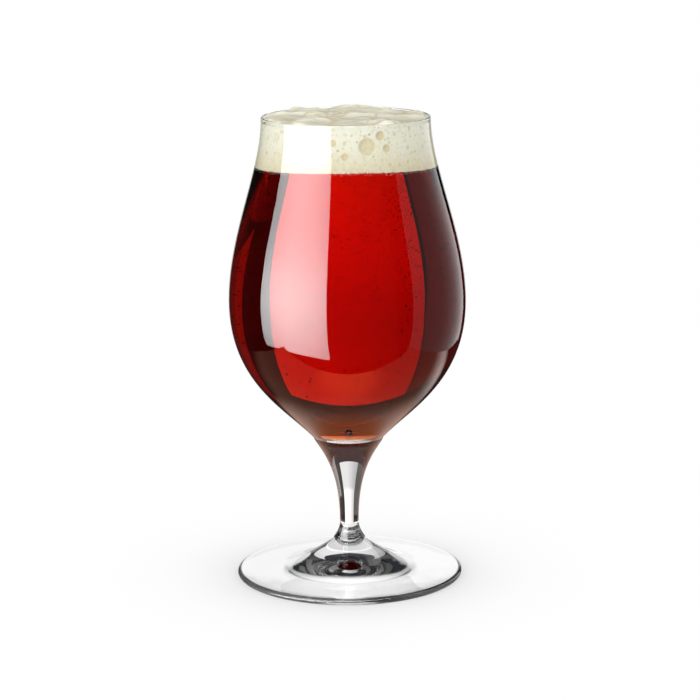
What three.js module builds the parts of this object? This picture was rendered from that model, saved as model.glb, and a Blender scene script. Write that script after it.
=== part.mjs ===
// Stemmed tulip beer glass, filled with red ale under a head of foam.
// Millimetres, +Z up, origin in the middle of the surface that the foot stands on.
// Foot, stem and bowl are turned forms stacked on one axis and fused end to end.
import * as THREE from 'three';

// Foot
const FOOT_RADIUS = 43;
const FOOT_EDGE = 2.3; // thickness of the rounded edge
const EDGE_ROUND = 1.8; // how far in from the edge its rounding starts
const REST_WIDTH = 5; // flat ring that the foot stands on
const LIFT = 1.5; // rise of the underside from the ring towards the middle
const HOLLOW_RADIUS = 24; // conical hollow in the underside, below the cone
const HOLLOW_HEIGHT = 3;
const HOLLOW_ROUND = 0.2; // share of its radius over which its tip and its mouth are rounded
const CONE_RADIUS = 27; // where the cone in the middle runs out into the plate
const CONE_THICKNESS = 3.3; // glass there
const CONE_REACH = 8;
const HUB_HEIGHT = 13.9; // top of the cone, where the stem is fused on
const HUB_RADIUS = 6;
const HUB_REACH = 3.8;
const HUB_LEAN = THREE.MathUtils.degToRad(52); // slope of the cone at the hub, from upright
const SEAM_BEVEL = 0.3; // softened edge on each side of the fused seam

// Stem
const STEM_LENGTH = 40.4;
const WAIST_RISE = 6.5; // narrowest place, above the hub
const WAIST_RADIUS = 3.6;
const WAIST_REACH_DOWN = 3;
const WAIST_REACH_UP = 21.5;
const FLARE_REACH = 7;
const FLARE_LEAN = THREE.MathUtils.degToRad(29); // slope of the flare under the bowl, from upright

// Bowl
const BOWL_HEIGHT = 121.7;
const BASE_RADIUS = 13.8; // crease between the bowl and the stem
const BASE_REACH = 16;
const BASE_LEAN = THREE.MathUtils.degToRad(47); // slope of the wall at the crease, from flat
const BELLY_RISE = 52; // widest place, above the crease
const BELLY_RADIUS = 44.65;
const BELLY_REACH_DOWN = 29.5;
const BELLY_REACH_UP = 25.8;
const RIM_RADIUS = 31.6;
const RIM_REACH = 19.4;
const RIM_WALL = 1.1;
const BASE_WALL = 2.2;
const FLOOR_THICKNESS = 1.6; // glass between the drink and the stem
const FLOOR_RISE = 12; // height over which the round floor runs into the wall

// Drink
const FILL_GAP = 0.3; // between the drink and the glass
const HEAD_DEPTH = 18.3; // surface of the beer below the rim
const HEAD_EDGE_DROP = 0.9; // foam at the wall below the rim
const HEAD_CROWN = 0.6; // rise of the foam from the wall to the middle
const HEAD_RINGS = 11;
// Creases in the skin of the foam: sets of parallel folds that cross one another
const FOAM_FOLDS = [
  { bearing: 14, spacing: 26, height: 0.5, offset: 0.3 },
  { bearing: 78, spacing: 19, height: 0.4, offset: 0.1 },
  { bearing: 131, spacing: 15, height: 0.3, offset: 0.6 },
];

// Facets
const TURN_STEPS = 48;
const CURVE_STEPS = 8;
const WALL_STEPS = 18;
const HEAD_SIDE_STEPS = 5;

const baseHeight = HUB_HEIGHT + STEM_LENGTH;
const rimHeight = baseHeight + BOWL_HEIGHT;
const floorHeight = baseHeight + FLOOR_THICKNESS;
const fillHeight = rimHeight - HEAD_DEPTH;

const clearGlass = { color: 0xe8eeec, roughness: 0.03, metalness: 0, transparent: true, opacity: 0.3 };

const glass = new THREE.Group();

/** Turns a profile of Vector2(radius, height), which runs anticlockwise, about the Z axis. */
function turn(profile) {
  return new THREE.LatheGeometry(profile, TURN_STEPS).rotateX(Math.PI / 2);
}

function addPiece(name, geometry, finish) {
  const piece = new THREE.Mesh(geometry, new THREE.MeshStandardMaterial(finish));
  piece.name = name;
  glass.add(piece);
}

// Outside of the bowl, from the crease over the belly to the start of the round rim
const bellyHeight = baseHeight + BELLY_RISE;
const rimStart = rimHeight - RIM_WALL / 2;
const outerWall = new THREE.Path()
  .moveTo(BASE_RADIUS, baseHeight)
  .bezierCurveTo(
    BASE_RADIUS + BASE_REACH * Math.cos(BASE_LEAN), baseHeight + BASE_REACH * Math.sin(BASE_LEAN),
    BELLY_RADIUS, bellyHeight - BELLY_REACH_DOWN,
    BELLY_RADIUS, bellyHeight,
  )
  .bezierCurveTo(
    BELLY_RADIUS, bellyHeight + BELLY_REACH_UP,
    RIM_RADIUS, rimStart - RIM_REACH,
    RIM_RADIUS, rimStart,
  );

/** Point at share t of the wall's length, moved inwards by the wall there and by an inset. */
function innerWallPoint(t, inset) {
  const point = outerWall.getPoint(t);
  const along = outerWall.getTangent(t);
  const wall = THREE.MathUtils.mapLinear(point.y, baseHeight, rimStart, BASE_WALL, RIM_WALL);
  const inwards = new THREE.Vector2(-along.y, along.x);
  return point.addScaledVector(inwards, wall + inset);
}

/** Share of the wall's length at which its inner side reaches a height, found by halving. */
function shareAtHeight(height, inset) {
  let low = 0;
  let high = 1;
  while (high - low > Number.EPSILON) {
    const middle = (low + high) / 2;
    if (innerWallPoint(middle, inset).y < height) {
      low = middle;
    } else {
      high = middle;
    }
  }
  return low;
}

/** Points up the inner side of the wall between two shares of its length. */
function innerWall(from, to, steps, inset) {
  const points = [];
  for (let i = 0; i <= steps; i++) {
    points.push(innerWallPoint(THREE.MathUtils.lerp(from, to, i / steps), inset));
  }
  return points;
}

/** Points from the middle of the bowl's floor out to the wall, where the floor has turned up. */
function bowlFloor(inset) {
  const height = floorHeight + inset;
  const share = shareAtHeight(height + FLOOR_RISE, inset);
  const end = innerWallPoint(share, inset);
  const along = outerWall.getTangent(share);
  const corner = new THREE.Vector2(end.x - FLOOR_RISE * along.x / along.y, height);
  const curve = new THREE.QuadraticBezierCurve(new THREE.Vector2(0, height), corner, end);
  return { points: curve.getPoints(CURVE_STEPS), share };
}

function footGeometry() {
  const restOuter = FOOT_RADIUS - EDGE_ROUND;
  const restInner = restOuter - REST_WIDTH;
  const liftSlope = LIFT / restInner;
  const hollowTop = LIFT + HOLLOW_HEIGHT;
  const hollowTurn = HOLLOW_RADIUS * HOLLOW_ROUND;
  const hollowMouth = HOLLOW_RADIUS - hollowTurn;
  const plateSlope = (CONE_THICKNESS - FOOT_EDGE) / (restOuter - CONE_RADIUS);
  const hubEdge = HUB_HEIGHT - SEAM_BEVEL;
  const profile = new THREE.Path()
    .moveTo(0, hollowTop)
    .bezierCurveTo(
      hollowTurn, hollowTop,
      hollowMouth, LIFT - hollowMouth * liftSlope,
      HOLLOW_RADIUS, LIFT - HOLLOW_RADIUS * liftSlope,
    )
    .lineTo(restInner, 0)
    .lineTo(restOuter, 0)
    .absellipse(restOuter, FOOT_EDGE / 2, EDGE_ROUND, FOOT_EDGE / 2, -Math.PI / 2, Math.PI / 2, false)
    .lineTo(CONE_RADIUS, CONE_THICKNESS)
    .bezierCurveTo(
      CONE_RADIUS - CONE_REACH, CONE_THICKNESS + CONE_REACH * plateSlope,
      HUB_RADIUS + HUB_REACH * Math.sin(HUB_LEAN), hubEdge - HUB_REACH * Math.cos(HUB_LEAN),
      HUB_RADIUS, hubEdge,
    )
    .lineTo(HUB_RADIUS - SEAM_BEVEL, HUB_HEIGHT)
    .lineTo(0, HUB_HEIGHT);
  return turn(profile.getPoints(CURVE_STEPS));
}

function stemGeometry() {
  const waistHeight = HUB_HEIGHT + WAIST_RISE;
  const profile = new THREE.Path()
    .moveTo(0, HUB_HEIGHT)
    .lineTo(HUB_RADIUS - SEAM_BEVEL, HUB_HEIGHT)
    .lineTo(HUB_RADIUS, HUB_HEIGHT + SEAM_BEVEL)
    .quadraticCurveTo(WAIST_RADIUS, waistHeight - WAIST_REACH_DOWN, WAIST_RADIUS, waistHeight)
    .bezierCurveTo(
      WAIST_RADIUS, waistHeight + WAIST_REACH_UP,
      BASE_RADIUS - FLARE_REACH * Math.sin(FLARE_LEAN), baseHeight - FLARE_REACH * Math.cos(FLARE_LEAN),
      BASE_RADIUS, baseHeight,
    )
    .lineTo(0, baseHeight);
  return turn(profile.getPoints(CURVE_STEPS));
}

function bowlGeometry() {
  const floor = bowlFloor(0);
  const rim = new THREE.EllipseCurve(
    RIM_RADIUS - RIM_WALL / 2, rimStart, RIM_WALL / 2, RIM_WALL / 2, 0, Math.PI,
  );
  const profile = [
    new THREE.Vector2(0, baseHeight),
    ...outerWall.getSpacedPoints(WALL_STEPS),
    ...rim.getPoints(CURVE_STEPS / 2).slice(1),
    ...innerWall(floor.share, 1, WALL_STEPS, 0).reverse().slice(1, -1),
    ...floor.points.reverse(),
  ];
  return turn(profile);
}

function beerGeometry() {
  const floor = bowlFloor(FILL_GAP);
  const fillShare = shareAtHeight(fillHeight, FILL_GAP);
  const profile = [
    ...floor.points,
    ...innerWall(floor.share, fillShare, WALL_STEPS, FILL_GAP).slice(1),
    new THREE.Vector2(0, fillHeight),
  ];
  return turn(profile);
}

/** Height of the crossing folds at a point of the foam's skin. */
function foldHeight(x, y) {
  let height = 0;
  for (const fold of FOAM_FOLDS) {
    const bearing = THREE.MathUtils.degToRad(fold.bearing);
    const across = (x * Math.cos(bearing) + y * Math.sin(bearing)) / fold.spacing + fold.offset;
    height += fold.height * Math.abs(2 * (across - Math.floor(across)) - 1);
  }
  return height;
}

function foamGeometry() {
  const fillShare = shareAtHeight(fillHeight, FILL_GAP);
  const edgeHeight = rimHeight - HEAD_EDGE_DROP;
  const edgeShare = shareAtHeight(edgeHeight, FILL_GAP);
  const side = innerWall(fillShare, edgeShare, HEAD_SIDE_STEPS, FILL_GAP);
  const edgeRadius = side[HEAD_SIDE_STEPS].x;
  const skin = [];
  for (let ring = HEAD_RINGS - 1; ring >= 0; ring--) {
    skin.push(new THREE.Vector2(edgeRadius * ring / HEAD_RINGS, edgeHeight));
  }
  const geometry = turn([new THREE.Vector2(0, fillHeight), ...side, ...skin]);
  const positions = geometry.attributes.position;
  const skinStart = side.length + 1;
  const ringCount = skinStart + skin.length;
  for (let i = 0; i < positions.count; i++) {
    if (i % ringCount >= skinStart) {
      const x = positions.getX(i);
      const y = positions.getY(i);
      const inside = 1 - (x * x + y * y) / (edgeRadius * edgeRadius);
      positions.setZ(i, edgeHeight + HEAD_CROWN * inside + foldHeight(x, y) * Math.sqrt(inside));
    }
  }
  return geometry;
}

addPiece('foot', footGeometry(), clearGlass);
addPiece('stem', stemGeometry(), clearGlass);
addPiece('bowl', bowlGeometry(), clearGlass);
addPiece('beer', beerGeometry(), { color: 0xa81408, roughness: 0.05, metalness: 0 });
addPiece('foam_head', foamGeometry(), { color: 0xf2ecd8, roughness: 0.85, metalness: 0 });

export default glass;
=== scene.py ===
"""Dress a stemmed tulip beer glass: clear glass, red ale with fine bubbles, and a cream head of foam.

The glass, the beer and the bubbles are made by geometry nodes from outlines in millimetres.
Light bends at the glass only, less at a wall that the drink wets than at a dry one. The beer colours it.
"""

import logging
import math
from abc import ABC, abstractmethod
from collections.abc import Iterable, Sequence
from dataclasses import dataclass
from enum import Enum
from typing import ClassVar, NamedTuple

import bpy
import numpy as np
from bpy.types import Material, Mesh, Node, NodeOutputs, NodeSocket, NodeTree, Object
from mathutils import Matrix, Vector


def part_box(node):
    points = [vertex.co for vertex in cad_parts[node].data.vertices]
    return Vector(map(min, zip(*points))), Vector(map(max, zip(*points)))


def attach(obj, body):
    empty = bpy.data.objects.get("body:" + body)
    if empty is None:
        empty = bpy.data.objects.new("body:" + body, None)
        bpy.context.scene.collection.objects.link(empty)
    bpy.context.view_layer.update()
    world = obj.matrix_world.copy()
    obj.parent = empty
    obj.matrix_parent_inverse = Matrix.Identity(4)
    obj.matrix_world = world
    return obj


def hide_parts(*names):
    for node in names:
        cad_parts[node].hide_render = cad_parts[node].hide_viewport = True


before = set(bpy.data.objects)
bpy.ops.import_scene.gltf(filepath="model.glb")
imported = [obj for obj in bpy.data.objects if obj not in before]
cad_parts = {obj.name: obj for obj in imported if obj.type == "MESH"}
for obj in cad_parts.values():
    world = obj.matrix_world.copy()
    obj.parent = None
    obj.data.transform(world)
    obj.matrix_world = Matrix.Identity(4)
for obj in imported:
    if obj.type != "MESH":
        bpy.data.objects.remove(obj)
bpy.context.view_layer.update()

MM = 0.001
BODY = "root"
LOG = logging.getLogger("scene")

Colour = tuple[float, float, float]
Place = tuple[float, float, float]
Point = tuple[float, float]

WHITE: Colour = (1.0, 1.0, 1.0)
ORIGIN: Place = (0.0, 0.0, 0.0)


class Meets(Enum):
    """What lies on the other side of a face of the glass, which sets how far light bends there."""

    AIR = "air"
    DRINK = "drink"
    GLASS = "glass"

    @property
    def mark(self) -> str:
        """Name of the mark on the points of an outline."""
        return f"meets_{self.value}"


class Graph:
    """A node tree with short calls to add, set and link nodes."""

    def __init__(self, tree: NodeTree) -> None:
        """Take the tree of a material, a world or a node group."""
        self.tree = tree

    def add(self, kind: str, values: dict | None = None, **settings: object) -> Node:
        """Add a node.

        Args:
            kind: Type of the node.
            values: For each input, by name or number, its value or the socket or node to link from.
            **settings: Settings of the node itself.

        Returns:
            The new node.
        """
        node = self.tree.nodes.new(kind)
        for name, value in settings.items():
            setattr(node, name, value)
        for key, value in (values or {}).items():
            socket = node.inputs[key]
            if isinstance(value, Node):
                self.tree.links.new(value.outputs[0], socket)
            elif isinstance(value, NodeSocket):
                self.tree.links.new(value, socket)
            elif socket.type == "RGBA":
                socket.default_value = (*value, 1.0)
            else:
                socket.default_value = value
        return node

    def math(self, operation: str, *terms: object) -> NodeSocket:
        """Return the result of a Math node on numbers or sockets."""
        return self.add("ShaderNodeMath", dict(enumerate(terms)), operation=operation).outputs[0]

    def whole(self, operation: str, *terms: object) -> NodeSocket:
        """Return the result of an Integer Math node on whole numbers or sockets."""
        return self.add("FunctionNodeIntegerMath", dict(enumerate(terms)), operation=operation).outputs[0]

    def distance(self, spot: NodeSocket, centre: Place) -> NodeSocket:
        """Return how far a place lies from a fixed centre."""
        return self.add("ShaderNodeVectorMath", {0: spot, 1: centre}, operation="DISTANCE").outputs["Value"]

    def ramp(self, value: NodeSocket, reach: Point) -> NodeSocket:
        """Return a smooth rise from 0 to 1 as a value crosses a reach."""
        limits = {"Value": value, "From Min": reach[0], "From Max": reach[1]}
        return self.add("ShaderNodeMapRange", limits, interpolation_type="SMOOTHSTEP").outputs[0]

    def mix(self, share: object, first: object, second: object) -> NodeSocket:
        """Return a mix of two colours with a share of the second."""
        return self.add("ShaderNodeMix", {0: share, 6: first, 7: second}, data_type="RGBA").outputs[2]

    def spot(self) -> NodeSocket:
        """Return the place on the object."""
        return self.add("ShaderNodeTexCoord").outputs["Object"]

    def ways(self, place: object) -> NodeOutputs:
        """Return the X, Y and Z of a place."""
        return self.add("ShaderNodeSeparateXYZ", {0: place}).outputs

    def mark(self, name: str) -> NodeSocket:
        """Return a mark that the points of a mesh carry."""
        return self.add("ShaderNodeAttribute", attribute_name=name).outputs["Fac"]

    def glow(self, colour: object, strength: object = 1.0) -> Node:
        """Return a shader that glows."""
        return self.add("ShaderNodeEmission", {"Color": colour, "Strength": strength})

    def blend(self, share: NodeSocket, first: Node, second: Node) -> Node:
        """Return a mix of two shaders with a share of the second."""
        return self.add("ShaderNodeMixShader", {0: share, 1: first, 2: second})


def from_srgb(red: int, green: int, blue: int) -> Colour:
    """Return the linear colour of screen levels from 11 to 255."""
    return tuple(((level / 255 + 0.055) / 1.055) ** 2.4 for level in (red, green, blue))


def new_material(name: str, glows: bool = False) -> tuple[Material, Graph]:
    """Make an empty material.

    Args:
        name: Name of the material.
        glows: Whether it glows only for the rays that happen to meet it, not as a lamp does.

    Returns:
        The material and its graph.
    """
    material = bpy.data.materials.new(name)
    material.use_nodes = True
    material.node_tree.nodes.clear()
    if glows:
        material.cycles.emission_sampling = "NONE"
    return material, Graph(material.node_tree)


def new_group(name: str, kind: str, inputs: dict[str, str], output: tuple[str, str]) -> Graph:
    """Make an empty node group.

    Args:
        name: Name of the group.
        kind: What it works on, Geometry or Shader.
        inputs: Name and type of each input.
        output: Name and type of what it puts out.

    Returns:
        The graph of the new group.
    """
    tree = bpy.data.node_groups.new(name, f"{kind}NodeTree")
    for socket, value in inputs.items():
        tree.interface.new_socket(socket, in_out="INPUT", socket_type=f"NodeSocket{value}")
    tree.interface.new_socket(output[0], in_out="OUTPUT", socket_type=f"NodeSocket{output[1]}")
    return Graph(tree)


def new_object(name: str, mesh: Mesh, *finishes: Material) -> Object:
    """Put a mesh in the scene.

    Args:
        name: Name of the object.
        mesh: Its mesh.
        *finishes: Materials to dress it with.

    Returns:
        The new object, at the origin.
    """
    for finish in finishes:
        mesh.materials.append(finish)
    piece = bpy.data.objects.new(name, mesh)
    bpy.context.scene.collection.objects.link(piece)
    return piece


def new_mesh(name: str, places: Sequence[Place], faces: Sequence[tuple[int, ...]]) -> Mesh:
    """Make a mesh.

    Args:
        name: Name of the mesh.
        places: Its points.
        faces: The points of each face.

    Returns:
        The new mesh.
    """
    mesh = bpy.data.meshes.new(name)
    mesh.from_pydata(places, [], faces)
    return mesh


def set_mark(mesh: Mesh, name: str, values: Sequence[float]) -> None:
    """Mark the points of a mesh with a value each."""
    mark = mesh.attributes.new(name, "FLOAT", "POINT")
    mark.data.foreach_set("value", np.asarray(values, np.float32))


def grow(piece: Object, tree: NodeTree, values: dict[str, object]) -> None:
    """Run a geometry nodes tree on an object and keep the mesh that it makes.

    Args:
        piece: Object that carries what the tree starts from.
        tree: The tree.
        values: A value for each of the tree's named inputs.
    """
    modifier = piece.modifiers.new(tree.name, "NODES")
    modifier.node_group = tree
    for item in tree.interface.items_tree:
        if item.in_out == "INPUT" and item.name in values:
            modifier[item.identifier] = values[item.name]
    depsgraph = bpy.context.evaluated_depsgraph_get()
    mesh = bpy.data.meshes.new_from_object(piece.evaluated_get(depsgraph))
    piece.modifiers.clear()
    piece.data = mesh


def place(piece: Object, slot: str, *nodes: str) -> None:
    """Fix a finished piece to the glass.

    Args:
        piece: The piece, in its place.
        slot: Slot that its finish belongs to; not used.
        *nodes: Plain pieces that it stands for.
    """
    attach(piece, BODY)
    if nodes:
        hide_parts(*nodes)
    LOG.info("%s: %d faces", piece.name, len(piece.data.polygons))


# Curves


def bezier(corners: Sequence[Point], shares: np.ndarray) -> np.ndarray:
    """Return points on a Bezier curve.

    Args:
        corners: Its control points.
        shares: Where on the curve, from 0 to 1.

    Returns:
        One row for each share.
    """
    degree = len(corners) - 1
    weights = [
        math.comb(degree, i) * shares**i * (1 - shares) ** (degree - i) for i in range(degree + 1)
    ]
    return np.stack(weights, axis=1) @ np.array(corners)


def bezier_slope(corners: Sequence[Point], shares: np.ndarray) -> np.ndarray:
    """Return unit vectors along a Bezier curve.

    Args:
        corners: Its control points.
        shares: Where on the curve, from 0 to 1.

    Returns:
        One row for each share.
    """
    along = bezier(np.diff(np.array(corners), axis=0), shares)
    return along / np.linalg.norm(along, axis=1, keepdims=True)


def curve(corners: Sequence[Point], steps: int) -> np.ndarray:
    """Return evenly shared points on a Bezier curve, both ends with them."""
    return bezier(corners, np.linspace(0, 1, steps + 1))


def arc(centre: Point, radii: Point, start: float, end: float, steps: int) -> np.ndarray:
    """Return points on an ellipse.

    Args:
        centre: Its centre.
        radii: Its half widths.
        start: First angle, in degrees.
        end: Last angle, in degrees.
        steps: Steps between them.

    Returns:
        One row for each point, both ends with them.
    """
    angles = np.radians(np.linspace(start, end, steps + 1))
    return np.array(centre) + np.stack([np.cos(angles), np.sin(angles)], axis=1) * np.array(radii)


def ring(radius: float, height: float, steps: int) -> list[Place]:
    """Return points on a level circle, anticlockwise from above.

    Args:
        radius: Its radius.
        height: Its height.
        steps: Number of points.

    Returns:
        One place for each point.
    """
    turns = [math.tau * step / steps for step in range(steps)]
    return [(radius * math.cos(turn), radius * math.sin(turn), height) for turn in turns]


def ring_faces(rings: int, steps: int) -> list[tuple[int, ...]]:
    """Return the faces between rings of points that follow one another.

    Args:
        rings: Number of rings.
        steps: Points of each ring.

    Returns:
        The points of each face.
    """
    faces = []
    for start in range(0, (rings - 1) * steps, steps):
        for step in range(steps):
            here, after = start + step, start + (step + 1) % steps
            faces.append((here, after, after + steps, here + steps))
    return faces


class Outline:
    """Half outline of a turned piece, anticlockwise from the axis back to the axis, in millimetres."""

    def __init__(self) -> None:
        """Start with no points."""
        self.points: list[Point] = []
        self.meets: list[Meets] = []

    def run(self, points: Sequence[Point], meets: Meets = Meets.AIR) -> "Outline":
        """Add a stretch of points.

        Args:
            points: Radius and height of each.
            meets: What the faces of this stretch meet.

        Returns:
            The outline itself, for the next stretch.
        """
        self.points.extend((float(radius), float(height)) for radius, height in points)
        self.meets.extend([meets] * len(points))
        return self

    def mesh(self, name: str) -> Mesh:
        """Lay the points out in the XZ plane.

        Args:
            name: Name of the mesh.

        Returns:
            A chain of edges, with a mark for what each point meets.
        """
        mesh = bpy.data.meshes.new(name)
        places = [(radius * MM, 0, height * MM) for radius, height in self.points]
        mesh.from_pydata(places, [(i, i + 1) for i in range(len(places) - 1)], [])
        for meets in (Meets.DRINK, Meets.GLASS):
            set_mark(mesh, meets.mark, [float(kind is meets) for kind in self.meets])
        return mesh


class Lathe:
    """Geometry nodes that turn an outline about the Z axis and finish each kind of face."""

    SHARP = math.radians(32)
    WELD = 0.001 * MM
    MARKED = 0.99

    def __init__(self, steps: int = 256) -> None:
        """Build the tree for a number of facets in a full turn."""
        self.steps = steps
        self.tree = self._tree()

    def _tree(self) -> NodeTree:
        """Return the tree: a grid with a row for each point of the outline, wound round and welded."""
        inputs = {"Outline": "Geometry", "Turn Steps": "Int", **{meets.mark: "Material" for meets in Meets}}
        graph = new_group("Turned piece", "Geometry", inputs, ("Piece", "Geometry"))
        given = graph.add("NodeGroupInput").outputs
        outline = given["Outline"]
        rows = graph.add("GeometryNodeAttributeDomainSize", {"Geometry": outline}, component="MESH")
        columns = graph.whole("ADD", given["Turn Steps"], 1)
        grid = graph.add("GeometryNodeMeshGrid", {"Vertices X": rows, "Vertices Y": columns})
        index = graph.add("GeometryNodeInputIndex").outputs[0]
        row = graph.whole("DIVIDE_FLOOR", index, columns)
        turn = graph.math("DIVIDE", graph.whole("MODULO", index, columns), given["Turn Steps"])
        angle = graph.math("MULTIPLY", turn, -math.tau)
        spot = graph.add("GeometryNodeInputPosition")
        sample = {"Geometry": outline, "Value": spot, "Index": row}
        ways = graph.ways(graph.add("GeometryNodeSampleIndex", sample, data_type="FLOAT_VECTOR"))
        across = graph.math("MULTIPLY", ways["X"], graph.math("COSINE", angle))
        along = graph.math("MULTIPLY", ways["X"], graph.math("SINE", angle))
        position = graph.add("ShaderNodeCombineXYZ", {"X": across, "Y": along, "Z": ways["Z"]})
        piece = graph.add("GeometryNodeSetPosition", {"Geometry": grid, "Position": position})
        for meets in (Meets.DRINK, Meets.GLASS):
            piece = self._carry_mark(graph, piece, outline, row, meets)
        piece = graph.add("GeometryNodeMergeByDistance", {"Geometry": piece, "Distance": self.WELD})
        piece = graph.add("GeometryNodeSetShadeSmooth", {"Geometry": piece})
        piece = graph.add("GeometryNodeRealizeInstances", {"Geometry": piece})
        piece = graph.add("GeometryNodeSetMaterial", {"Geometry": piece, "Material": given[Meets.AIR.mark]})
        for meets in (Meets.DRINK, Meets.GLASS):
            mark = graph.add("GeometryNodeInputNamedAttribute", {"Name": meets.mark}, data_type="FLOAT")
            chosen = graph.math("GREATER_THAN", mark.outputs[0], self.MARKED)
            finish = {"Geometry": piece, "Selection": chosen, "Material": given[meets.mark]}
            piece = graph.add("GeometryNodeSetMaterial", finish)
        graph.add("NodeGroupOutput", {0: piece})
        return graph.tree

    @staticmethod
    def _carry_mark(graph: Graph, piece: Node, outline: NodeSocket, row: NodeSocket, meets: Meets) -> Node:
        """Carry a mark from the outline to the turned points.

        Args:
            graph: Graph that the nodes are added to.
            piece: Node that gives the turned points.
            outline: Socket that gives the outline.
            row: Socket with each turned point's row.
            meets: Which mark.

        Returns:
            Node that gives the points with the mark stored.
        """
        mark = graph.add("GeometryNodeInputNamedAttribute", {"Name": meets.mark}, data_type="FLOAT")
        sample = {"Geometry": outline, "Value": mark, "Index": row}
        value = graph.add("GeometryNodeSampleIndex", sample, data_type="FLOAT")
        stored = {"Geometry": piece, "Name": meets.mark, "Value": value}
        return graph.add("GeometryNodeStoreNamedAttribute", stored, data_type="FLOAT", domain="POINT")

    def turn(self, name: str, outline: Outline, materials: dict[Meets, Material]) -> Object:
        """Turn an outline.

        Args:
            name: Name of the piece.
            outline: Its half outline.
            materials: A material for each kind of face.

        Returns:
            The finished piece, smooth, with its true edges kept sharp.
        """
        piece = new_object(name, outline.mesh(name))
        values = {meets.mark: material for meets, material in materials.items()}
        grow(piece, self.tree, {"Turn Steps": self.steps, **values})
        piece.data.set_sharp_from_angle(angle=self.SHARP)
        return piece


# Finishes


@dataclass(frozen=True)
class GlassWaves:
    """Faint waves that drawing and blowing leave in glass, long along the axis and short round it."""

    scale: float = 42.0
    stretch: float = 0.35
    height: float = 0.1
    detail: float = 1.0

    def group(self) -> NodeTree:
        """Return the waves as a group of shader nodes that puts out a normal."""
        values = {"Scale": self.scale, "Stretch": self.stretch, "Height": self.height * MM}
        graph = new_group("Glass waves", "Shader", dict.fromkeys(values, "Float"), ("Normal", "Vector"))
        for name, value in values.items():
            graph.tree.interface.items_tree[name].default_value = value
        given = graph.add("NodeGroupInput").outputs
        ways = graph.ways(graph.spot())
        rise = graph.math("MULTIPLY", ways["Z"], given["Stretch"])
        spot = graph.add("ShaderNodeCombineXYZ", {"X": ways["X"], "Y": ways["Y"], "Z": rise})
        noise = {"Vector": spot, "Scale": given["Scale"], "Detail": self.detail}
        waves = graph.add("ShaderNodeTexNoise", noise).outputs["Fac"]
        bump = graph.add("ShaderNodeBump", {"Distance": given["Height"], "Height": waves})
        graph.add("NodeGroupOutput", {"Normal": bump})
        return graph.tree


@dataclass(frozen=True)
class ClearGlass:
    """Clear glass that lamps shine through, with the refractive index between it and what it meets."""

    meets: Meets
    refraction: float
    waves: NodeTree
    lamp_tint: Colour = (0.86, 0.87, 0.87)

    def material(self) -> Material:
        """Return the glass as a material."""
        material, graph = new_material(f"clear_glass_to_{self.meets.value}")
        waves = graph.add("ShaderNodeGroup", node_tree=self.waves)
        glass = graph.add(
            "ShaderNodeBsdfPrincipled",
            {
                "Base Color": WHITE,
                "Roughness": 0.0,
                "IOR": self.refraction,
                "Transmission Weight": 1.0,
                "Normal": waves.outputs["Normal"],
            },
        )
        clear = graph.add("ShaderNodeBsdfTransparent", {"Color": self.lamp_tint})
        path = graph.add("ShaderNodeLightPath").outputs
        passing = graph.math("MAXIMUM", path["Is Shadow Ray"], path["Is Diffuse Ray"])
        graph.add("ShaderNodeOutputMaterial", {"Surface": graph.blend(passing, glass, clear)})
        return material


@dataclass(frozen=True)
class RedAle:
    """Beer that only colours light; the glass that it wets does the bending."""

    density: float = 150.0
    colour: Colour = (0.947, 0.433, 0.0)

    def material(self) -> Material:
        """Return the beer as a material."""
        material, graph = new_material("red_ale")
        surface = graph.add(
            "ShaderNodeBsdfPrincipled",
            {"Base Color": WHITE, "Roughness": 0.0, "IOR": 1.0, "Transmission Weight": 1.0},
        )
        depth = graph.add("ShaderNodeVolumeAbsorption", {"Color": self.colour, "Density": self.density})
        graph.add("ShaderNodeOutputMaterial", {"Surface": surface, "Volume": depth})
        return material


@dataclass(frozen=True)
class GasBubble:
    """Skin of a bubble of gas in the beer, painted dark to stand in for the light that it turns aside."""

    refraction: float = 1.33
    # The dark colour below is painted shade, standing in for the light that the bubble turns aside.
    painted_darkness: Colour = (0.11, 0.09, 0.08)

    def material(self) -> Material:
        """Return the bubble as a material."""
        material, graph = new_material("gas_bubble")
        skin = graph.add(
            "ShaderNodeBsdfPrincipled",
            {"Base Color": self.painted_darkness, "Roughness": 0.0, "IOR": self.refraction, "Transmission Weight": 1.0},
        )
        graph.add("ShaderNodeOutputMaterial", {"Surface": skin})
        return material


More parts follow.
